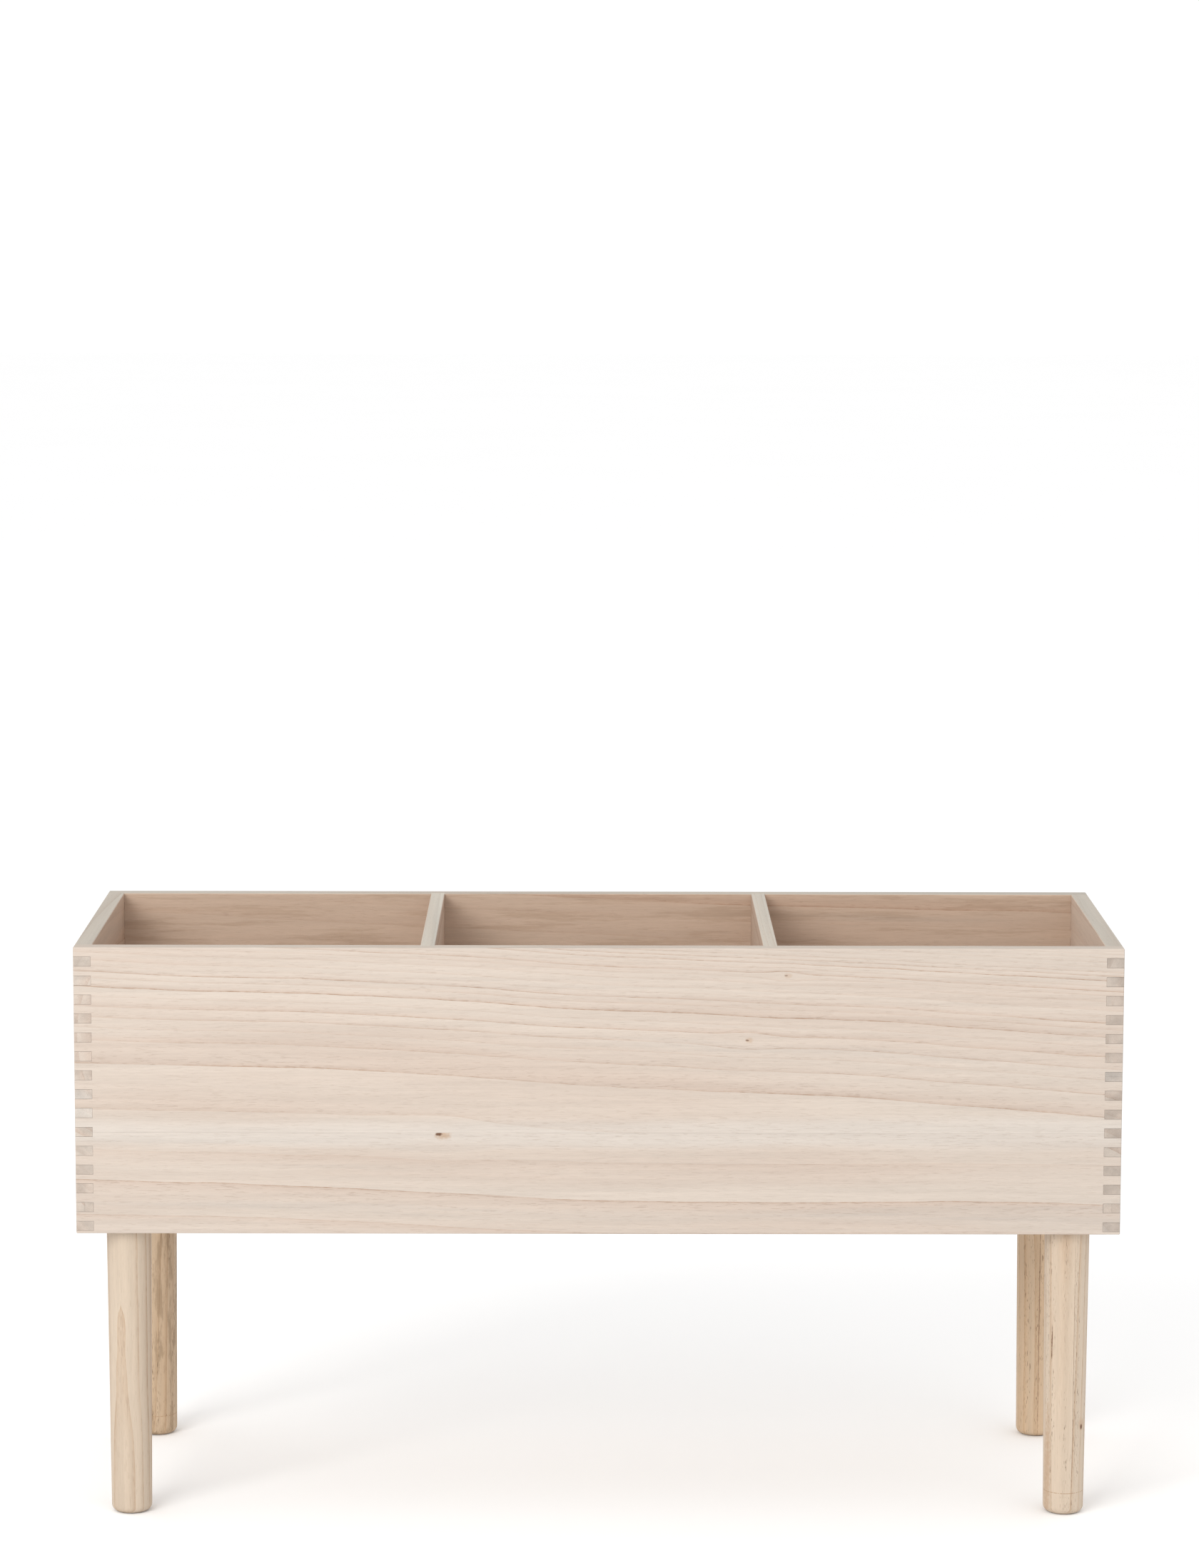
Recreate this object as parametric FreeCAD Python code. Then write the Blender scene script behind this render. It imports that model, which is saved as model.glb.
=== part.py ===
import FreeCAD, Part
import os
from FreeCAD import Vector

# A raised planter: a finger-jointed box with three compartments on four round legs.
# Millimetres. X runs along the length, the front faces -Y, and Z is up.
# The origin is on the floor, at the middle of the footprint.

# Driving dimensions: the whole object
LENGTH = 720.0
DEPTH = 250.0
HEIGHT = 403.0
BOX_HEIGHT = 200.0
EASED_EDGE = 0.8

# Boards
BOARD = 12.0
DIVIDER = 10.0
COMPARTMENTS = 3

# Finger joint at the four upright corners
FINGER = 6.6
SIDE_GAP = 0.08
END_GAP = 0.10

# Groove round the inside of the four walls, and the bottom panel that it holds
GROOVE_DEPTH = 6.0
GROOVE_WIDTH = 6.6
GROOVE_HEIGHT = 15.2
BOTTOM = 6.4
BOTTOM_PLAY = 0.5
PLUG_GAP = 0.06

# Upright housings that hold the ends of the dividers
HOUSING_DEPTH = 4.0
HOUSING_GAP = 0.05

# Legs and the battens that carry them
LEG_INSET_X = 34.0
LEG_INSET_Y = 24.0
LEG_TOP_RADIUS = 15.5
LEG_FOOT_RADIUS = 14.0
FOOT_ROUNDING = 5.0
LEG_TOP_CHAMFER = 0.5
BATTEN_EASING = 1.0

# M8 leg fixings: a pronged nut in the batten, a hanger bolt in the leg
BOLT_RADIUS = 4.0
BOLT_IN_LEG = 36.0
BOLT_IN_NUT = 14.4
BOLT_PITCH = 1.25
BOLT_THREAD_DEPTH = 0.65
WOOD_PITCH = 3.0
WOOD_THREAD_DEPTH = 1.1
PLAIN_NECK = 4.0
POINT_LENGTH = 5.0
NUT_FLANGE_RADIUS = 10.0
NUT_FLANGE = 1.4
NUT_BARREL_RADIUS = 4.9
NUT_BARREL = 11.0
PRONG_LENGTH = 6.0
PRONG_WIDTH = 3.0
PRONG_THICKNESS = 1.1
PRONGS = 4

# Countersunk screws, 3.5 x 16, through the bottom panel into the battens
SCREW_RADIUS = 1.75
SCREW_HEAD_RADIUS = 3.5
SCREW_LENGTH = 16.0
SCREW_PITCH = 1.6
SCREW_THREAD_DEPTH = 0.5
SCREW_POINT = 3.0
HEAD_LAND = 0.3
RECESS_LENGTH = 4.2
RECESS_WIDTH = 0.8
RECESS_DEPTH = 1.5
SCREW_ROWS_Y = (-78.0, -28.0, 28.0, 78.0)

# Worked out from the above
FLOOR_TO_BOX = HEIGHT - BOX_HEIGHT
INNER_X = LENGTH / 2 - BOARD
INNER_Y = DEPTH / 2 - BOARD
GROOVE_BASE = FLOOR_TO_BOX + GROOVE_HEIGHT
GROOVE_TOP = GROOVE_BASE + GROOVE_WIDTH
BOTTOM_TOP = GROOVE_BASE + BOTTOM
COMPARTMENT = (2 * INNER_X - (COMPARTMENTS - 1) * DIVIDER) / COMPARTMENTS
DIVIDER_X = (COMPARTMENT + DIVIDER) / 2
FINGER_CELLS = int(BOX_HEIGHT // FINGER)
LEG_X = LENGTH / 2 - LEG_INSET_X
LEG_Y = DEPTH / 2 - LEG_INSET_Y
BATTEN_WIDTH = 2 * (LEG_INSET_X - BOARD)
OVERRUN = 5.0

SIDES_X = {"left": -1, "right": 1}
SIDES_Y = {"front": -1, "rear": 1}


def block(x_range, y_range, z_range):
    """A box between two values on each axis, given in either order."""
    low = Vector(min(x_range), min(y_range), min(z_range))
    high = Vector(max(x_range), max(y_range), max(z_range))
    size = high - low
    return Part.makeBox(size.x, size.y, size.z, low)


def turned(profile, centre):
    """A solid of revolution about an upright axis, from (radius, height) points."""
    points = [Vector(radius, 0, height) for radius, height in profile]
    wire = Part.makePolygon(points + points[:1])
    solid = Part.Face(wire).revolve(Vector(0, 0, 0), Vector(0, 0, 1), 360)
    solid.translate(centre)
    return solid


def ridges(crest, depth, pitch, start, end):
    """Profile points of a thread's ridges between two heights, going up."""
    points = []
    count = int(round((end - start) / pitch))
    step = (end - start) / count
    for index in range(count):
        foot = start + index * step
        points.append((crest - depth, foot))
        points.append((crest, foot + 0.4 * step))
        points.append((crest, foot + 0.6 * step))
    points.append((crest - depth, end))
    return points


def eased_box():
    """The whole glued-up box as one block with its pockets, every sharp edge eased."""
    outer = block((-LENGTH / 2, LENGTH / 2), (-DEPTH / 2, DEPTH / 2), (FLOOR_TO_BOX, HEIGHT))
    outer = outer.makeFillet(EASED_EDGE, outer.Edges)
    for index in range(COMPARTMENTS):
        start = -INNER_X + index * (COMPARTMENT + DIVIDER)
        pocket = block((start, start + COMPARTMENT), (-INNER_Y, INNER_Y), (BOTTOM_TOP, HEIGHT + 1))
        outer = outer.cut(pocket)
    rim_edges = []
    for edge in outer.Edges:
        bounds = edge.BoundBox
        level = bounds.ZLength < 0.001 and abs(bounds.ZMax - HEIGHT) < 0.001
        inside = max(abs(bounds.XMin), abs(bounds.XMax)) < INNER_X + 0.001
        inside = inside and max(abs(bounds.YMin), abs(bounds.YMax)) < INNER_Y + 0.001
        if level and inside:
            rim_edges.append(edge)
    recess = block((-INNER_X, INNER_X), (-INNER_Y, INNER_Y), (FLOOR_TO_BOX - 1, GROOVE_BASE))
    return outer.makeFillet(EASED_EDGE, rim_edges).cut(recess)


def finger_cells(first):
    """Lower and upper heights of every second cell of the joint, counted down from the rim."""
    cells = []
    for index in range(first, FINGER_CELLS, 2):
        top = HEIGHT - index * FINGER
        cells.append((top - FINGER, top))
    return cells


def divider_positions():
    return {"left": -DIVIDER_X, "right": DIVIDER_X}


def long_panel(side):
    """Front or rear wall: fingers at the rim, at both ends, and every second cell down."""
    outer = side * DEPTH / 2
    inner = side * INNER_Y
    panel = block((-LENGTH / 2, LENGTH / 2), (outer, inner), (FLOOR_TO_BOX, HEIGHT))
    for low, high in finger_cells(1):
        for end in SIDES_X.values():
            reach = (end * (INNER_X - END_GAP), end * (LENGTH / 2 + OVERRUN))
            socket = block(reach, (outer, inner), (low - SIDE_GAP, high + SIDE_GAP))
            panel = panel.cut(socket)
    groove = block((-LENGTH / 2, LENGTH / 2), (inner, inner + side * GROOVE_DEPTH),
                   (GROOVE_BASE, GROOVE_TOP))
    panel = panel.cut(groove)
    for x in divider_positions().values():
        half = DIVIDER / 2 + HOUSING_GAP
        housing = block((x - half, x + half), (inner, inner + side * HOUSING_DEPTH),
                        (GROOVE_TOP, HEIGHT))
        panel = panel.cut(housing)
    return panel


def end_panel(side):
    """Left or right wall: its fingers fill the cells that the long walls leave open."""
    outer = side * LENGTH / 2
    inner = side * INNER_X
    panel = block((outer, inner), (-DEPTH / 2, DEPTH / 2), (FLOOR_TO_BOX, HEIGHT))
    cells = finger_cells(0)
    last_finger = HEIGHT - FINGER_CELLS * FINGER
    cells.append((FLOOR_TO_BOX - OVERRUN, last_finger))
    for low, high in cells:
        for end in SIDES_Y.values():
            reach = (end * INNER_Y, end * (DEPTH / 2 + OVERRUN))
            panel = panel.cut(block((outer, inner), reach, (low - SIDE_GAP, high + SIDE_GAP)))
    groove = block((inner, inner + side * GROOVE_DEPTH), (-DEPTH / 2, DEPTH / 2),
                   (GROOVE_BASE, GROOVE_TOP))
    return panel.cut(groove)


def groove_plug(side_x, side_y):
    """A square peg that closes the open end of an end wall's groove."""
    inner = side_x * INNER_X
    return block((inner + side_x * PLUG_GAP, inner + side_x * (GROOVE_DEPTH - PLUG_GAP)),
                 (side_y * (DEPTH / 2 - BOARD + GROOVE_DEPTH), side_y * DEPTH / 2),
                 (GROOVE_BASE + PLUG_GAP, GROOVE_TOP - PLUG_GAP))


def divider(x):
    """A cross board that stands on the bottom panel, with both ends in the housings."""
    reach = INNER_Y + HOUSING_DEPTH
    return block((x - DIVIDER / 2, x + DIVIDER / 2), (-reach, reach), (BOTTOM_TOP, HEIGHT))


def screw_places():
    places = []
    for side in SIDES_X.values():
        for y in SCREW_ROWS_Y:
            places.append(Vector(side * LEG_X, y, BOTTOM_TOP))
    return places


def screw_body(place):
    """The screw without its driving recess. It also cuts its own hole."""
    cone = SCREW_HEAD_RADIUS - SCREW_RADIUS
    tip = -SCREW_LENGTH
    profile = [(0, tip)]
    profile += ridges(SCREW_RADIUS, SCREW_THREAD_DEPTH, SCREW_PITCH, tip + SCREW_POINT, -HEAD_LAND - cone)
    profile.append((SCREW_RADIUS, -HEAD_LAND - cone))
    profile.append((SCREW_HEAD_RADIUS, -HEAD_LAND))
    profile.append((SCREW_HEAD_RADIUS, 0))
    profile.append((0, 0))
    return turned(profile, place)


def screw(place):
    """A countersunk wood screw with a cross recess."""
    body = screw_body(place)
    half_length = RECESS_LENGTH / 2
    half_width = RECESS_WIDTH / 2
    depth = (place.z - RECESS_DEPTH, place.z + 1)
    body = body.cut(block((place.x - half_length, place.x + half_length),
                          (place.y - half_width, place.y + half_width), depth))
    return body.cut(block((place.x - half_width, place.x + half_width),
                          (place.y - half_length, place.y + half_length), depth))


def bottom_panel():
    """The floor of the compartments, loose in the groove on all four sides."""
    reach_x = INNER_X + GROOVE_DEPTH - BOTTOM_PLAY
    reach_y = INNER_Y + GROOVE_DEPTH - BOTTOM_PLAY
    panel = block((-reach_x, reach_x), (-reach_y, reach_y), (GROOVE_BASE, BOTTOM_TOP))
    for place in screw_places():
        panel = panel.cut(screw_body(place))
    return panel


def leg_places(side=None):
    """Where the legs' axes meet the underside of the box, on one side or on both."""
    sides = SIDES_X.values() if side is None else (side,)
    places = []
    for side_x in sides:
        for side_y in SIDES_Y.values():
            places.append(Vector(side_x * LEG_X, side_y * LEG_Y, FLOOR_TO_BOX))
    return places


def pronged_nut(place):
    """A flanged nut let into the top of the batten, with prongs that keep it from turning."""
    top = GROOVE_BASE
    profile = [
        (BOLT_RADIUS, top - NUT_BARREL),
        (NUT_BARREL_RADIUS, top - NUT_BARREL),
        (NUT_BARREL_RADIUS, top - NUT_FLANGE),
        (NUT_FLANGE_RADIUS, top - NUT_FLANGE),
        (NUT_FLANGE_RADIUS, top),
        (BOLT_RADIUS, top),
    ]
    nut = turned(profile, Vector(place.x, place.y, 0))
    for index in range(PRONGS):
        outside = NUT_FLANGE_RADIUS
        base = top - NUT_FLANGE
        corners = [
            Vector(outside, -PRONG_WIDTH / 2, base),
            Vector(outside, PRONG_WIDTH / 2, base),
            Vector(outside, 0, base - PRONG_LENGTH),
        ]
        prong = Part.Face(Part.makePolygon(corners + corners[:1])).extrude(Vector(-PRONG_THICKNESS, 0, 0))
        prong = prong.common(Part.makeCylinder(NUT_FLANGE_RADIUS, HEIGHT))
        prong.rotate(Vector(0, 0, 0), Vector(0, 0, 1), 45 + index * 360 / PRONGS)
        prong.translate(Vector(place.x, place.y, 0))
        nut = nut.fuse(prong)
    return nut.removeSplitter()


def hanger_bolt(place):
    """Machine thread above, for the nut, and wood thread below, for the leg."""
    lower_end = -BOLT_IN_LEG
    profile = [(0, lower_end)]
    profile += ridges(BOLT_RADIUS, WOOD_THREAD_DEPTH, WOOD_PITCH, lower_end + POINT_LENGTH, -PLAIN_NECK)
    profile.append((BOLT_RADIUS, -PLAIN_NECK))
    profile.append((BOLT_RADIUS, 0))
    profile += ridges(BOLT_RADIUS, BOLT_THREAD_DEPTH, BOLT_PITCH, 0, BOLT_IN_NUT)
    profile.append((0, BOLT_IN_NUT))
    return turned(profile, place)


def leg_batten(side):
    """A cleat under the bottom panel that carries the front and the rear leg of one end."""
    inner = side * (INNER_X - BATTEN_WIDTH)
    batten = block((inner, side * INNER_X), (-INNER_Y, INNER_Y), (FLOOR_TO_BOX, GROOVE_BASE))
    exposed = []
    for edge in batten.Edges:
        middle = edge.CenterOfMass
        if abs(middle.z - FLOOR_TO_BOX) < 0.001 and abs(middle.x - inner) < 0.001:
            exposed.append(edge)
    batten = batten.makeFillet(BATTEN_EASING, exposed)
    for place in leg_places(side):
        bore = Part.makeCylinder(NUT_BARREL_RADIUS, GROOVE_HEIGHT + 1, place)
        flange_seat = Part.makeCylinder(NUT_FLANGE_RADIUS, NUT_FLANGE + 1,
                                        Vector(place.x, place.y, GROOVE_BASE - NUT_FLANGE))
        batten = batten.cut(bore).cut(flange_seat).cut(pronged_nut(place))
    for place in screw_places():
        batten = batten.cut(screw_body(place))
    return batten


def leg(place):
    """A turned leg, thinner towards the floor, with a rounded foot."""
    tall = Part.makeCone(LEG_FOOT_RADIUS, LEG_TOP_RADIUS, FLOOR_TO_BOX)
    foot_edge = [edge for edge in tall.Edges if edge.BoundBox.ZMax < 0.001]
    tall = tall.makeFillet(FOOT_ROUNDING, foot_edge)
    top_edge = [edge for edge in tall.Edges if edge.BoundBox.ZMin > FLOOR_TO_BOX - 0.001]
    tall = tall.makeChamfer(LEG_TOP_CHAMFER, top_edge)
    hole = Part.makeCylinder(BOLT_RADIUS, BOLT_IN_LEG + 1, Vector(0, 0, FLOOR_TO_BOX - BOLT_IN_LEG))
    tall = tall.cut(hole)
    tall.translate(Vector(place.x, place.y, 0))
    return tall


def build():
    """Every sub-part by its name."""
    shape = eased_box()
    parts = {}
    for name, side in SIDES_Y.items():
        parts[name + "_panel"] = long_panel(side).common(shape)
    for name, side in SIDES_X.items():
        parts[name + "_end_panel"] = end_panel(side).common(shape)
        parts[name + "_leg_batten"] = leg_batten(side)
    for name, x in divider_positions().items():
        parts[name + "_divider"] = divider(x).common(shape)
    parts["bottom_panel"] = bottom_panel()
    for name_y, side_y in SIDES_Y.items():
        for name_x, side_x in SIDES_X.items():
            corner = name_y + "_" + name_x
            parts[corner + "_groove_plug"] = groove_plug(side_x, side_y)
            parts[corner + "_leg"] = leg(Vector(side_x * LEG_X, side_y * LEG_Y, 0))
    parts["pronged_nuts"] = Part.makeCompound([pronged_nut(place) for place in leg_places()])
    parts["hanger_bolts"] = Part.makeCompound([hanger_bolt(place) for place in leg_places()])
    parts["batten_screws"] = Part.makeCompound([screw(place) for place in screw_places()])
    return parts


def main():
    os.makedirs("parts", exist_ok=True)
    for name, shape in build().items():
        shape.exportStep(os.path.join("parts", name + ".step"))
        print(name, len(shape.Solids), "solids, volume", round(shape.Volume), "valid", shape.isValid())


main()
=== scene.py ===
import math

import bpy
from mathutils import Matrix, Vector


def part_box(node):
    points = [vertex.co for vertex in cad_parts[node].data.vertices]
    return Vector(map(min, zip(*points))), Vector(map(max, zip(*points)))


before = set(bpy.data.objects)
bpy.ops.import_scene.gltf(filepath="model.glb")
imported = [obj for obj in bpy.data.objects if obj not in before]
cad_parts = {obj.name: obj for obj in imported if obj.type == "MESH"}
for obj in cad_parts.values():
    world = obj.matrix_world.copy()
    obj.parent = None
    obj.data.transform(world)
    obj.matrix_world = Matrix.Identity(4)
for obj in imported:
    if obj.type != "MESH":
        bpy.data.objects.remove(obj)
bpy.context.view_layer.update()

LOW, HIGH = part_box("front_panel")
RIM = HIGH.z
BOX_FLOOR = LOW.z
BOX_MIDDLE = (LOW.z + HIGH.z) / 2

# Camera: measured from the middle of the front panel's top edge, in metres and degrees
CAMERA_BACK = 3.127
CAMERA_UP = 0.5305
CAMERA_ACROSS = -0.0125
CAMERA_PITCH = -7.60
CAMERA_YAW = 0.23
CAMERA_ROLL = 0.13
CAMERA_LENS = 106.37
CAMERA_SENSOR = 36.0
CAMERA_REACH = 100.0

# Light and floor: metres, watts and linear colour
LIGHT_TARGET = (0.0, 0.0, 0.25)
SOFTBOXES = (
    dict(name="key_softbox", place=(-1.9, -3.0, 2.1), size=(2.2, 1.8), power=74.0,
         colour=(1.0, 0.985, 0.96)),
    dict(name="fill_softbox", place=(2.4, -2.8, 1.0), size=(2.0, 1.6), power=8.0,
         colour=(1.0, 0.99, 0.98)),
)
SKY_BRIGHTNESS = 1.02
FLOOR_REACH = 20.0
FLOOR_DARK = (0.97, 0.97, 0.97)
FLOOR_PALE = (0.985, 0.985, 0.985)


class Graph:
    """Short calls that add shader nodes to one material."""

    def __init__(self, material):
        self.tree = material.node_tree
        self.tree.nodes.clear()

    def node(self, kind, **settings):
        node = self.tree.nodes.new(kind)
        for name, value in settings.items():
            setattr(node, name, value)
        return node

    def feed(self, socket, value):
        if isinstance(value, bpy.types.NodeSocket):
            self.tree.links.new(value, socket)
        elif value is not None:
            socket.default_value = value

    def math(self, operation, first, second=None):
        node = self.node("ShaderNodeMath", operation=operation)
        self.feed(node.inputs[0], first)
        self.feed(node.inputs[1], second)
        return node.outputs[0]

    def add(self, first, second):
        return self.math("ADD", first, second)

    def minus(self, first, second):
        return self.math("SUBTRACT", first, second)

    def times(self, first, second):
        return self.math("MULTIPLY", first, second)

    def absolute(self, value):
        return self.math("ABSOLUTE", value)

    def distance_squared(self, first, second, first_reach, second_reach):
        """How far out a point is on an ellipse with these reaches, squared: 1 is on it."""
        first = self.times(first, 1.0 / first_reach)
        second = self.times(second, 1.0 / second_reach)
        return self.add(self.times(first, first), self.times(second, second))

    def vector(self, x, y, z):
        node = self.node("ShaderNodeCombineXYZ")
        for socket, value in zip(node.inputs, (x, y, z)):
            self.feed(socket, value)
        return node.outputs[0]

    def split(self, vector):
        """A vector's three parts, by the names of their axes."""
        node = self.node("ShaderNodeSeparateXYZ")
        self.feed(node.inputs[0], vector)
        return dict(zip("XYZ", node.outputs))

    def stretch(self, vector, factors):
        node = self.node("ShaderNodeVectorMath", operation="MULTIPLY")
        self.feed(node.inputs[0], vector)
        node.inputs[1].default_value = factors
        return node.outputs[0]

    def noise(self, vector, grain, detail=2.0, roughness=0.5):
        """Noise from 0 to 1. grain is its cycles per metre on each axis."""
        node = self.node("ShaderNodeTexNoise", noise_dimensions="3D")
        self.feed(node.inputs["Vector"], self.stretch(vector, grain))
        node.inputs["Scale"].default_value = 1.0
        node.inputs["Detail"].default_value = detail
        node.inputs["Roughness"].default_value = roughness
        return node.outputs[0]

    def swing(self, vector, grain, reach, detail=2.0):
        """Noise about 0, over this reach from end to end."""
        return self.times(self.minus(self.noise(vector, grain, detail), 0.5), reach)

    def layer(self, vector, recipe):
        """A stepped_noise recipe's value at a place."""
        noise = self.noise(vector, recipe["grain"], recipe["detail"], recipe["roughness"])
        return self.rise(noise, recipe["low"], recipe["high"], recipe["start"], recipe["end"])

    def chance(self, number):
        """A random number from 0 to 1 for each whole number."""
        node = self.node("ShaderNodeTexWhiteNoise", noise_dimensions="1D")
        self.feed(node.inputs["W"], number)
        return node.outputs["Value"]

    def rise(self, value, low, high, start=0.0, end=1.0):
        """A smooth step from start to end as value goes from low to high."""
        node = self.node("ShaderNodeMapRange", interpolation_type="SMOOTHSTEP")
        for socket, given in zip(node.inputs, (value, low, high, start, end)):
            self.feed(socket, given)
        return node.outputs[0]

    def mix(self, share, first, second, blend="MIX"):
        node = self.node("ShaderNodeMix", data_type="RGBA", blend_type=blend)
        self.feed(node.inputs["Factor"], share)
        self.feed(node.inputs[6], opaque(first))
        self.feed(node.inputs[7], opaque(second))
        return node.outputs[2]

    def bump(self, height, strength, distance):
        node = self.node("ShaderNodeBump")
        node.inputs["Strength"].default_value = strength
        node.inputs["Distance"].default_value = distance
        self.feed(node.inputs["Height"], height)
        return node.outputs[0]

    def surface(self, colour, rough, normal, metallic, specular):
        shader = self.node("ShaderNodeBsdfPrincipled")
        self.feed(shader.inputs["Base Color"], colour)
        self.feed(shader.inputs["Roughness"], rough)
        self.feed(shader.inputs["Normal"], normal)
        shader.inputs["Metallic"].default_value = metallic
        shader.inputs["Specular IOR Level"].default_value = specular
        output = self.node("ShaderNodeOutputMaterial")
        self.feed(output.inputs["Surface"], shader.outputs[0])


def opaque(colour):
    return (*colour, 1.0) if isinstance(colour, tuple) else colour


def new_material(name):
    material = bpy.data.materials.new(name)
    material.use_nodes = True
    return material, Graph(material)


# Wood. Every board is cut out of its own tree: rings about a pith line, which a board's faces slice.
# Colours are linear, and lengths are in metres.

RING_RADIUS = 0.070

# Tints of the faces that look into a compartment or up at the rim, and colours of marks. The inside
# tints are a deeper colour, and lighter on the rear and right end boards as painted light.
RAW_WOOD = (0.98, 0.86, 0.77)
# Inside tints above 1 are painted light: they make the rear and right end boards' inside faces
# lighter.
RAW_REAR_AND_PAINTED_LIGHT = (1.06, 0.925, 0.82)
RAW_LEFT_END = (1.00, 0.86, 0.755)
RAW_RIGHT_END_AND_PAINTED_LIGHT = (1.10, 1.01, 0.94)
# Rim tints: greyer, and darker as painted shade on the tops of the boards; the divider tops a little
# lighter as painted light.
RIM_GREY_AND_SHADE = (0.87, 0.91, 0.90)
FRONT_RIM_GREY_AND_SHADE = (0.96, 0.97, 0.96)
DIVIDER_RIM_TINT_AND_LIGHT = (1.0, 1.06, 1.05)
KNOT_COLOUR = (0.120, 0.055, 0.028)
KNOT_HALO = (0.400, 0.270, 0.175)
STAIN = (0.255, 0.175, 0.105)
FLECK = (0.110, 0.065, 0.035)
BOTH_FACES = 2

# How far a face's direction has to lean one way to count as facing it: not at all, fully
FACING = (0.5, 0.9)
END_FACING = (0.55, 0.85)

# Shares: how much is left of a ring's line on planed faces, of the light at a glue line, and how
# strongly pores and sapwood show. BOLDNESS_SKEW above 1 makes most rings faint and a few bold.
PLANED_LINE = 0.35
GLUE_SHADE = 0.90
PORE_STRENGTH = 0.40
SAPWOOD_STRENGTH = 0.65
TOOL_LINE_STRENGTH = 0.60
BOLDNESS_SKEW = 1.8

# Distances from a line's middle at which it starts to fade and is gone
GLUE_LINE = (0.0001, 0.0004)
TOOL_LINE = (0.0001, 0.0005)
SAPWOOD = (0.003, 0.014)
SAPWOOD_RAGGED = 0.020

WOOD_GLOSS = 0.35
WOOD_BUMP = dict(strength=0.35, distance=0.00025)
ZINC_BUMP = dict(strength=0.15, distance=0.0001)

PAULOWNIA = dict(
    pale=(0.518, 0.450, 0.390),
    blush=(0.480, 0.392, 0.330),
    grey=(0.430, 0.385, 0.345),
    line=(0.265, 0.145, 0.075),
    sapwood=(0.530, 0.485, 0.440),
    pore=(0.230, 0.150, 0.100),
    line_width=0.00036,
    line_depth=0.95,
    band=1.35,
    fade=2.4,
    faintest=0.15,
)
YOUNG_PINE = dict(
    pale=(0.505, 0.415, 0.325),
    blush=(0.455, 0.345, 0.250),
    grey=(0.440, 0.365, 0.290),
    line=(0.290, 0.165, 0.085),
    sapwood=(0.520, 0.440, 0.350),
    pore=(0.165, 0.105, 0.065),
    line_width=0.00080,
    line_depth=0.80,
    band=1.30,
    fade=5.0,
    faintest=0.50,
)
# The rear legs' pine: yellower, and darker as painted shade from the box above them.
YELLOW_PINE_AND_SHADE = dict(
    YOUNG_PINE,
    pale=(0.470, 0.355, 0.248),
    blush=(0.425, 0.300, 0.190),
    grey=(0.400, 0.320, 0.235),
)

# Noises that move the rings: cycles per metre along the grain, across it and into the board
SWAY_GRAIN = (1.7, 3.0, 3.0)
SWAY_REACH = 0.030
RIPPLE_GRAIN = (11.0, 16.0, 16.0)
RIPPLE_REACH = 0.0035
FUZZ_GRAIN = (160.0, 900.0, 900.0)
FUZZ_REACH = 0.0008
UNEVEN_GRAIN = (0.25, 0.37, 1.0)
UNEVEN_REACH = 1.6
KNOT_GRAIN = (400.0, 400.0, 400.0)
KNOT_REACH = 1.6

# Noises used at more than one step
CLOUD_GRAIN = (2.2, 55.0, 1.0)
FIBRE_GRAIN = (65.0, 1000.0, 1000.0)


def stepped_noise(grain, low, high, start=0.0, end=1.0, detail=2.0, roughness=0.5):
    """A noise that is stepped from start to end as it goes from low to high."""
    return dict(grain=grain, low=low, high=high, start=start, end=end, detail=detail,
                roughness=roughness)


STREAKS = stepped_noise((9.0, 90.0, 90.0), 0.34, 0.58, start=0.20)
DASHES = stepped_noise((190.0, 600.0, 600.0), 0.30, 0.62, start=0.45)
GREY_CLOUDS = stepped_noise((1.6, 75.0, 1.0), 0.54, 0.76, end=0.6, detail=3.0)
PORES = stepped_noise((130.0, 1700.0, 1700.0), 0.60, 0.70, detail=1.0)
BOARD_STAINS = stepped_noise((10.0, 130.0, 130.0), 0.49, 0.62, detail=5.0, roughness=0.7)
LEG_STAINS = stepped_noise((26.0, 150.0, 150.0), 0.49, 0.62, detail=5.0, roughness=0.7)
FLECK_ROWS = stepped_noise((5.0, 220.0, 220.0), 0.44, 0.60)
FLECKS = stepped_noise((210.0, 2000.0, 2000.0), 0.63, 0.69, detail=1.0)
FIGURE = stepped_noise((6.0, 260.0, 260.0), 0.32, 0.68, start=0.960, end=1.035, detail=3.0,
                       roughness=0.6)
END_MOTTLE = stepped_noise((1.0, 75.0, 75.0), 0.35, 0.65, start=-0.09, end=0.08)
ZINC_CLOUDS = stepped_noise((180.0, 180.0, 180.0), 0.35, 0.65, detail=3.0)


def stave(start, pith, lean, ring, seed, tone=1.0, slowing=2.7, first=0.0):
    """One strip of an edge-glued board: from start, on the across axis, to the next one's start.
    pith is the tree's centre, (across, deep), and lean is its rise along the grain. ring is the
    width of a ring at RING_RADIUS from the pith, slowing is how fast rings get narrower outward
    (1 for not at all), and first moves all the rings by a share of one ring."""
    return dict(start=start, pith_across=pith[0], pith_deep=pith[1], lean=lean, rate=1.0 / ring,
                seed=seed, tone=tone, slowing=slowing, first=first)


def by_stave(graph, across, staves, key):
    """A value that steps from one stave's to the next one's at each glue line."""
    value = staves[0][key]
    for before, after in zip(staves, staves[1:]):
        beyond = graph.math("GREATER_THAN", across, after["start"])
        value = graph.add(value, graph.times(beyond, after[key] - before[key]))
    return value


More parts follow.
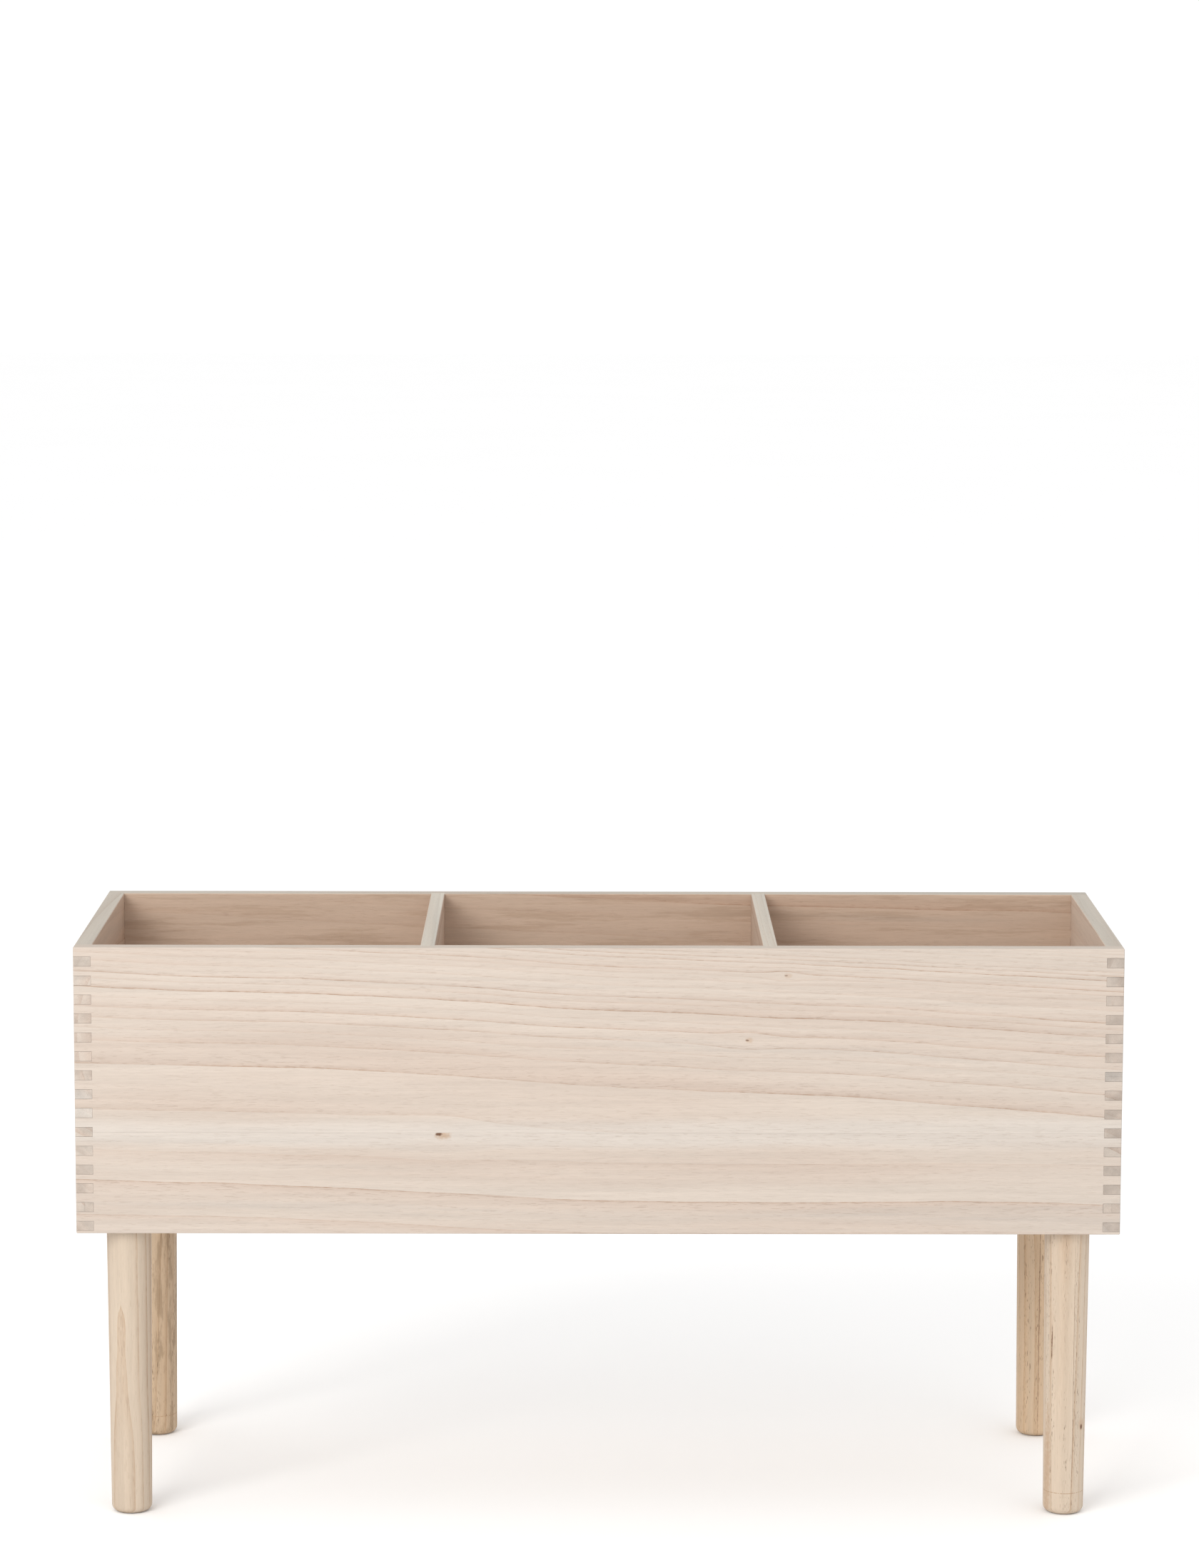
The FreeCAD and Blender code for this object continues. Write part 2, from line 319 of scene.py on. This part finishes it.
class Spot:
    """A point on a board: where it lies in the wood, and which way the face looks there."""

    def __init__(self, graph, axes, staves, inside):
        coordinates = graph.node("ShaderNodeTexCoord")
        sides = graph.split(coordinates.outputs["Object"])
        self.along, self.across, self.deep = (sides[axis] for axis in axes)
        facing = graph.split(coordinates.outputs["Normal"])
        self.end_grain = graph.rise(graph.absolute(facing[axes[0]]), *END_FACING)
        self.upward = graph.rise(facing["Z"], *FACING)
        inward = facing[axes[2]]
        if inside == BOTH_FACES:
            inward = graph.absolute(inward)
        else:
            inward = graph.times(inward, float(inside))
        self.inward = graph.rise(inward, *FACING)
        self.strip = {key: by_stave(graph, self.across, staves, key)
                      for key in staves[0] if key != "start"}
        self.start_along = graph.add(self.along, self.strip["seed"])
        self.place = graph.vector(self.start_along, self.across, self.deep)
        self.fibre = graph.noise(self.place, FIBRE_GRAIN, detail=3.0, roughness=0.6)


def mark(along, across, size, swell, strength, halo=0.5, ceiling=1.0, stretch=2.0):
    """A small knot or a dark vein on a board's face, cut off above the ceiling. swell is how far
    off it bends the rings, strength is how dark its own wood is, halo is how dark the wood
    round it is, and stretch is how many times longer than high it is."""
    return dict(along=along, across=across, size=size, swell=swell, strength=strength,
                halo=halo, ceiling=ceiling, stretch=stretch)


def mark_in(graph, spot, given, height):
    """Bends the rings round a mark. Returns the new height, and where its core and halo show."""
    off_along = graph.minus(spot.along, given["along"])
    off_across = graph.minus(spot.across, given["across"])
    apart = graph.distance_squared(off_along, off_across, given["swell"] * 3.0, given["swell"])
    falloff = graph.math("EXPONENT", graph.times(apart, -1.0))
    bulge = graph.times(graph.times(falloff, off_across), 0.9)
    ragged = graph.swing(spot.place, KNOT_GRAIN, KNOT_REACH)
    below = graph.math("LESS_THAN", spot.across, given["ceiling"])
    length = given["size"] * given["stretch"]
    core = graph.distance_squared(off_along, off_across, length, given["size"])
    core = graph.rise(graph.add(core, ragged), 0.2, 1.1, given["strength"], 0.0)
    shifted = graph.minus(off_along, given["size"] * 2.0)
    halo = graph.distance_squared(shifted, off_across, length * 2.2, given["size"] * 3.0)
    halo = graph.rise(graph.add(halo, ragged), 0.0, 1.3, given["halo"], 0.0)
    return graph.minus(height, bulge), graph.times(core, below), graph.times(halo, below)


def ring_height(graph, spot, marks):
    """How far a point is from the pith line on the across axis, with sway, ripple and knots.
    Also returns the core and halo of each mark."""
    sway = graph.swing(spot.place, SWAY_GRAIN, SWAY_REACH, detail=1.0)
    ripple = graph.swing(spot.place, RIPPLE_GRAIN, RIPPLE_REACH)
    height = graph.minus(graph.minus(spot.across, spot.strip["pith_across"]),
                         graph.times(spot.along, spot.strip["lean"]))
    height = graph.add(height, graph.add(sway, ripple))
    dark_spots = []
    for given in marks:
        height, core, halo = mark_in(graph, spot, given, height)
        dark_spots.append((core, halo))
    return height, dark_spots


def ring_at(graph, spot, radius):
    """The ring that a radius falls in: its number, the share of it already passed, and its width.
    The count is uneven, but it never runs backwards."""
    slowing = spot.strip["slowing"]
    relative = graph.times(radius, 1.0 / RING_RADIUS)
    grown = graph.math("DIVIDE", graph.math("POWER", relative, slowing), slowing)
    count = graph.times(graph.times(grown, RING_RADIUS), spot.strip["rate"])
    count = graph.add(count, spot.strip["first"])
    year = graph.vector(spot.start_along, count, 0.0)
    count = graph.add(count, graph.swing(year, UNEVEN_GRAIN, UNEVEN_REACH, detail=1.0))
    number = graph.add(graph.math("FLOOR", count), spot.strip["seed"])
    width = graph.math("POWER", relative, graph.minus(1.0, slowing))
    width = graph.math("DIVIDE", width, spot.strip["rate"])
    return number, graph.math("FRACT", count), width


def ring_marks(graph, spot, species, radius, planed, faded):
    """The dark line where a ring starts, and the warm band that fades out after it."""
    number, passed, width = ring_at(graph, spot, radius)
    fuzz = graph.swing(spot.place, FUZZ_GRAIN, FUZZ_REACH)
    past_line = graph.math("MAXIMUM", graph.add(graph.times(passed, width), fuzz), 0.0)
    boldness = graph.math("POWER", graph.chance(number), BOLDNESS_SKEW)
    boldness = graph.rise(boldness, 0.0, 1.0, species["faintest"], 1.0)
    broken = graph.times(graph.layer(spot.place, STREAKS), graph.layer(spot.place, DASHES))
    line = graph.math("EXPONENT", graph.times(past_line, -1.0 / species["line_width"]))
    line = graph.times(graph.times(line, boldness), broken)
    line = graph.times(line, graph.rise(planed, 0.0, 1.0, 1.0, PLANED_LINE))
    band = graph.math("EXPONENT", graph.times(passed, -species["fade"]))
    band = graph.times(band, graph.add(graph.times(boldness, 0.8), 0.2))
    if faded:
        kept = graph.rise(spot.inward, 0.0, 1.0, 1.0, 1.0 - faded)
        line = graph.times(line, kept)
        band = graph.times(band, kept)
    return line, band


def clean_colour(graph, spot, species, staves, radius, line, band):
    """Unmarked wood: pale and warm and grey clouds, pale sapwood at the glue lines, the rings."""
    ringwise = graph.vector(spot.start_along, radius, 0.0)
    cloud = graph.noise(ringwise, CLOUD_GRAIN, detail=3.0)
    warmth = graph.rise(cloud, 0.38, 0.70, 0.0, 0.55)
    warmth = graph.add(graph.times(band, species["band"]), warmth)
    colour = graph.mix(graph.math("MINIMUM", warmth, 1.0), species["pale"], species["blush"])
    colour = graph.mix(graph.layer(ringwise, GREY_CLOUDS), colour, species["grey"])
    for glued in staves[1:]:
        ragged = graph.times(graph.minus(cloud, 0.5), SAPWOOD_RAGGED)
        edge = graph.add(graph.absolute(graph.minus(spot.across, glued["start"])), ragged)
        shown = graph.rise(edge, *SAPWOOD, SAPWOOD_STRENGTH, 0.0)
        colour = graph.mix(shown, colour, species["sapwood"])
    return graph.mix(graph.times(line, species["line_depth"]), colour, species["line"])


def tone_of(graph, spot, staves, end_shade):
    """How light the wood is: fibres, figure, each stave's own tone, end grain, glue lines."""
    tone = graph.rise(spot.fibre, 0.25, 0.75, 0.965, 1.035)
    tone = graph.times(tone, graph.layer(spot.place, FIGURE))
    tone = graph.times(tone, spot.strip["tone"])
    mottle = graph.add(graph.layer(spot.place, END_MOTTLE), end_shade)
    face = graph.minus(1.0, spot.end_grain)
    tone = graph.times(tone, graph.add(face, graph.times(spot.end_grain, mottle)))
    for glued in staves[1:]:
        distance = graph.absolute(graph.minus(spot.across, glued["start"]))
        tone = graph.times(tone, graph.rise(distance, *GLUE_LINE, GLUE_SHADE, 1.0))
    return tone


def wood(name, axes, species, staves, marks=(), inside=0, raw_tint_and_light=RAW_WOOD, rim_tint_and_light=None, end_shade=0.82,
         faded=0.0, flecks=0.0, stains=0.0, stain_layer=BOARD_STAINS, scored=None):
    """Solid wood. axes names the row axes along the grain, across it and into the board.
    inside says which way along the last axis faces the compartments: 1, -1 or BOTH_FACES.
    Those faces take the inside tint, a deeper colour that is lighter on some boards as painted light,
    and faded is how much paler their rings are.
    The rim tint makes faces that look up greyer, and darker as painted shade (lighter on the divider
    tops), and end_shade darkens the end grain. flecks and stains, from
    0 to 1, are dark dashes and cloudy patches (on the inside faces only, where there are any),
    stain_layer is the patches' pattern, and scored is where along the grain a turning tool
    left a fine line."""
    material, graph = new_material(name)
    spot = Spot(graph, axes, staves, inside)
    height, dark_spots = ring_height(graph, spot, marks)
    depth = graph.minus(spot.deep, spot.strip["pith_deep"])
    radius = graph.add(graph.times(height, height), graph.times(depth, depth))
    radius = graph.math("SQRT", radius)
    planed = graph.math("MAXIMUM", spot.end_grain, spot.upward if rim_tint_and_light else 0.0)
    line, band = ring_marks(graph, spot, species, radius, planed, faded)
    colour = clean_colour(graph, spot, species, staves, radius, line, band)

    pores = graph.layer(spot.place, PORES)
    pores = graph.times(pores, graph.add(graph.times(band, 0.75), 0.25))
    colour = graph.mix(graph.times(pores, PORE_STRENGTH), colour, species["pore"])
    if stains:
        stain = graph.times(graph.layer(spot.place, stain_layer), stains)
        if inside:
            stain = graph.times(stain, spot.inward)
        colour = graph.mix(stain, colour, STAIN)
    if flecks:
        dark = graph.times(graph.layer(spot.place, FLECK_ROWS), graph.layer(spot.place, FLECKS))
        colour = graph.mix(graph.times(dark, flecks), colour, FLECK)
    for core, halo in dark_spots:
        colour = graph.mix(halo, colour, KNOT_HALO)
        colour = graph.mix(core, colour, KNOT_COLOUR)
    if scored:
        distance = graph.absolute(graph.minus(spot.along, scored))
        groove = graph.rise(distance, *TOOL_LINE, TOOL_LINE_STRENGTH, 0.0)
        groove = graph.times(groove, graph.rise(spot.fibre, 0.42, 0.52))
        colour = graph.mix(groove, colour, species["line"])

    # Faces that look into the compartments take the inside tint: a deeper colour, with painted light
    # on the rear and right end boards.
    if inside:
        colour = graph.mix(spot.inward, colour, raw_tint_and_light, blend="MULTIPLY")
    # Faces that look up take the rim tint: greyer, and darker as painted shade (lighter as painted
    # light on the divider tops).
    if rim_tint_and_light:
        colour = graph.mix(spot.upward, colour, rim_tint_and_light, blend="MULTIPLY")
    tone = tone_of(graph, spot, staves, end_shade)
    colour = graph.mix(1.0, colour, graph.vector(tone, tone, tone), blend="MULTIPLY")

    rough = graph.add(graph.rise(spot.fibre, 0.2, 0.8, 0.56, 0.70), graph.times(line, 0.08))
    relief = graph.add(pores, graph.times(line, 0.5))
    relief = graph.minus(graph.times(spot.fibre, 0.5), relief)
    bump = graph.bump(relief, **WOOD_BUMP)
    graph.surface(colour, rough, bump, metallic=0.0, specular=WOOD_GLOSS)
    return material


def zinc():
    """Bright zinc plate: faint blue and yellow cast in patches, fine scratches."""
    material, graph = new_material("zinc_plate")
    place = graph.node("ShaderNodeTexCoord").outputs["Object"]
    colour = graph.mix(graph.layer(place, ZINC_CLOUDS), (0.60, 0.60, 0.58), (0.68, 0.66, 0.60))
    scratch = graph.noise(place, (5200.0, 900.0, 300.0), detail=2.0)
    rough = graph.rise(scratch, 0.3, 0.7, 0.26, 0.44)
    bump = graph.bump(scratch, **ZINC_BUMP)
    graph.surface(colour, rough, bump, metallic=1.0, specular=0.5)
    return material


def paint(node, material):
    """Gives a CAD node its final material."""
    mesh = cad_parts[node].data
    mesh.materials.clear()
    mesh.materials.append(material)


def centre_of(node):
    low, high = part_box(node)
    return (low + high) / 2


def paint_front():
    """Two staves: wide flat rings below, narrow ones that slope down to the right above. The
    big knot sits under the glue line, and two tiny ones above it."""
    glue = BOX_FLOOR + 0.071
    staves = [
        stave(-1.0, (BOX_FLOOR + 0.086, LOW.y + 0.030), -0.014, 0.0185, 3.1, tone=0.99,
              slowing=1.0, first=-0.37),
        stave(glue, (glue - 0.012, -0.060), -0.050, 0.0112, 11.7),
    ]
    knots = [
        mark(-0.110, glue - 0.0009, 0.0014, 0.012, 0.97, halo=0.75, ceiling=glue),
        mark(0.128, RIM - 0.019, 0.0007, 0.005, 0.55, halo=0.35),
        mark(0.102, BOX_FLOOR + 0.136, 0.0007, 0.006, 0.75, halo=0.45),
    ]
    paint("front_panel", wood("front_board", "XZY", PAULOWNIA, staves, knots, inside=1,
                              rim_tint_and_light=FRONT_RIM_GREY_AND_SHADE))


def paint_rear():
    staves = [
        stave(-1.0, (BOX_MIDDLE - 0.16, 0.200), 0.012, 0.024, 23.9),
        stave(BOX_FLOOR + 0.112, (BOX_MIDDLE + 0.020, 0.030), -0.030, 0.020, 31.3, tone=0.98),
    ]
    paint("rear_panel", wood("rear_board", "XZY", PAULOWNIA, staves, inside=-1,
                             raw_tint_and_light=RAW_REAR_AND_PAINTED_LIGHT, rim_tint_and_light=RIM_GREY_AND_SHADE, faded=0.45, stains=0.24))


def paint_end(side, number):
    edge = LOW.x if side == "left" else HIGH.x
    glue = BOX_FLOOR + 0.090 + 0.021 * number
    staves = [
        stave(-1.0, (BOX_MIDDLE - 0.13, edge - 0.05), 0.02, 0.016, 41.3 + 9.1 * number, tone=0.99),
        stave(glue, (BOX_MIDDLE + 0.03, edge + 0.09), -0.03, 0.022, 52.7 + 7.7 * number),
    ]
    if side == "left":
        look = dict(inside=1, end_shade=0.90, raw_tint_and_light=RAW_LEFT_END)
    else:
        look = dict(inside=-1, end_shade=0.78, raw_tint_and_light=RAW_RIGHT_END_AND_PAINTED_LIGHT)
    paint(side + "_end_panel",
          wood(side + "_end_board", "YZX", PAULOWNIA, staves, rim_tint_and_light=RIM_GREY_AND_SHADE, **look))


def paint_divider(side, number):
    centre = centre_of(side + "_divider")
    board = [stave(-1.0, (RIM - 0.030, centre.x + 0.085), 0.015, 0.008, 63.1 + 5.9 * number)]
    paint(side + "_divider", wood(side + "_divider_board", "YZX", PAULOWNIA, board,
                                  inside=BOTH_FACES, rim_tint_and_light=DIVIDER_RIM_TINT_AND_LIGHT))


def paint_batten(side, number):
    edge = LOW.x if side == "left" else HIGH.x
    board = [stave(-1.0, (edge * 0.7, BOX_FLOOR - 0.06), 0.02, 0.004, 71.9 + 3.7 * number)]
    paint(side + "_leg_batten", wood(side + "_batten_pine", "YXZ", YOUNG_PINE, board))


def paint_bottom():
    staves = [
        stave(-1.0, (-0.10, BOX_FLOOR - 0.08), 0.01, 0.014, 83.3),
        stave(-0.035, (0.02, BOX_FLOOR + 0.11), -0.012, 0.012, 91.9, tone=0.97),
        stave(0.048, (0.09, BOX_FLOOR - 0.05), 0.016, 0.013, 97.1, tone=1.01),
    ]
    paint("bottom_panel", wood("bottom_board", "XYZ", PAULOWNIA, staves, inside=1))


def paint_plugs():
    for number, corner in enumerate(("front_left", "front_right", "rear_left", "rear_right")):
        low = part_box(corner + "_groove_plug")[0]
        peg = [stave(-1.0, (low.z - 0.02 - 0.004 * number, low.x + 0.03), 0.0, 0.008, 101.3 + number)]
        paint(corner + "_groove_plug", wood(corner + "_plug_wood", "YZX", PAULOWNIA, peg))


# Legs. The tree stands behind the front left leg, so that arches of grain show in front, and
# beside or before the others. pith is measured from the leg's own axis.
LEGS = dict(
    front_left=dict(species=YOUNG_PINE, axes="ZYX", pith=(0.048, 0.018), lean=-0.026, ring=0.0046,
                    seed=197.6, tone=1.005),
    front_right=dict(species=YOUNG_PINE, axes="ZXY", pith=(-0.020, -0.085), lean=0.010, ring=0.0060,
                     seed=324.4, tone=1.07, flecks=0.7, scored=0.016),
    rear_left=dict(species=YELLOW_PINE_AND_SHADE, axes="ZXY", pith=(0.030, 0.060), lean=0.030, ring=0.0050,
                   seed=197.6, tone=1.08, flecks=0.8, stains=0.6, scored=0.015),
    rear_right=dict(species=YELLOW_PINE_AND_SHADE, axes="ZXY", pith=(-0.050, 0.030), lean=0.004, ring=0.0060,
                    seed=324.4, tone=1.22, flecks=0.7),
)


def leg_marks(name, middle):
    """The front right leg's knot, dark check and two long veins, and the rear right leg's vein."""
    if name == "front_right":
        return [
            mark(0.063, middle + 0.0108, 0.0009, 0.002, 1.0, halo=0.5, stretch=2.6),
            mark(0.123, middle - 0.0104, 0.0004, 0.002, 1.0, halo=0.2, stretch=34.0),
            mark(0.100, middle + 0.0045, 0.0002, 0.001, 0.6, halo=0.0, stretch=600.0),
            mark(0.030, middle - 0.0122, 0.0006, 0.001, 0.0, halo=0.7, stretch=40.0),
        ]
    if name == "rear_right":
        return [mark(0.100, middle + 0.0005, 0.0003, 0.002, 0.8, halo=0.2, stretch=400.0)]
    return []


def paint_leg(name, species, axes, pith, lean, ring, seed, tone, **look):
    centre = centre_of(name + "_leg")
    across, deep = (centre["XYZ".index(axis)] for axis in axes[1:])
    tree = [stave(-1.0, (across + pith[0], deep + pith[1]), lean, ring, seed, tone=tone,
                  slowing=1.3, first=0.40)]
    paint(name + "_leg", wood(name + "_leg_pine", axes, species, tree, leg_marks(name, across),
                              stain_layer=LEG_STAINS, **look))


def paint_all():
    paint_front()
    paint_rear()
    for number, side in enumerate(("left", "right")):
        paint_end(side, number)
        paint_divider(side, number)
        paint_batten(side, number)
    paint_bottom()
    paint_plugs()
    for name, leg in LEGS.items():
        paint_leg(name, **leg)
    metal = zinc()
    for node in ("pronged_nuts", "hanger_bolts", "batten_screws"):
        paint(node, metal)


def add_object(name, data):
    added = bpy.data.objects.new(name, data)
    bpy.context.scene.collection.objects.link(added)
    return added


def add_camera():
    data = bpy.data.cameras.new("camera")
    data.lens = CAMERA_LENS
    data.sensor_width = CAMERA_SENSOR
    data.clip_end = CAMERA_REACH
    camera = add_object("camera", data)
    place = Matrix.Translation((CAMERA_ACROSS, LOW.y - CAMERA_BACK, RIM + CAMERA_UP))
    heading = Matrix.Rotation(math.radians(-CAMERA_YAW), 4, "Z")
    tilt = Matrix.Rotation(math.radians(90 + CAMERA_PITCH), 4, "X")
    roll = Matrix.Rotation(math.radians(CAMERA_ROLL), 4, "Z")
    camera.matrix_world = place @ heading @ tilt @ roll
    bpy.context.scene.camera = camera


def add_softbox(name, place, size, power, colour):
    data = bpy.data.lights.new(name, "AREA")
    data.shape = "RECTANGLE"
    data.size, data.size_y = size
    data.energy = power
    data.color = colour
    light = add_object(name, data)
    light.location = place
    toward = Vector(LIGHT_TARGET) - Vector(place)
    light.rotation_euler = toward.to_track_quat("-Z", "Y").to_euler()


def add_sky():
    world = bpy.data.worlds.new("studio")
    world.use_nodes = True
    background = world.node_tree.nodes["Background"]
    background.inputs["Color"].default_value = (1.0, 1.0, 1.0, 1.0)
    background.inputs["Strength"].default_value = SKY_BRIGHTNESS
    bpy.context.scene.world = world


def add_floor():
    reach = FLOOR_REACH
    corners = [(-reach, -reach, 0.0), (reach, -reach, 0.0), (reach, reach, 0.0), (-reach, reach, 0.0)]
    mesh = bpy.data.meshes.new("studio_floor")
    mesh.from_pydata(corners, [], [(0, 1, 2, 3)])
    floor = add_object("studio_floor", mesh)
    material, graph = new_material("pale_floor")
    place = graph.node("ShaderNodeTexCoord").outputs["Object"]
    cloud = graph.noise(place, (1.5, 1.5, 1.5), detail=3.0)
    graph.surface(graph.mix(cloud, FLOOR_DARK, FLOOR_PALE), 0.9, None, metallic=0.0, specular=0.1)
    mesh.materials.append(material)


bpy.context.scene.view_settings.view_transform = "Standard"
paint_all()
add_camera()
for softbox in SOFTBOXES:
    add_softbox(**softbox)
add_sky()
add_floor()
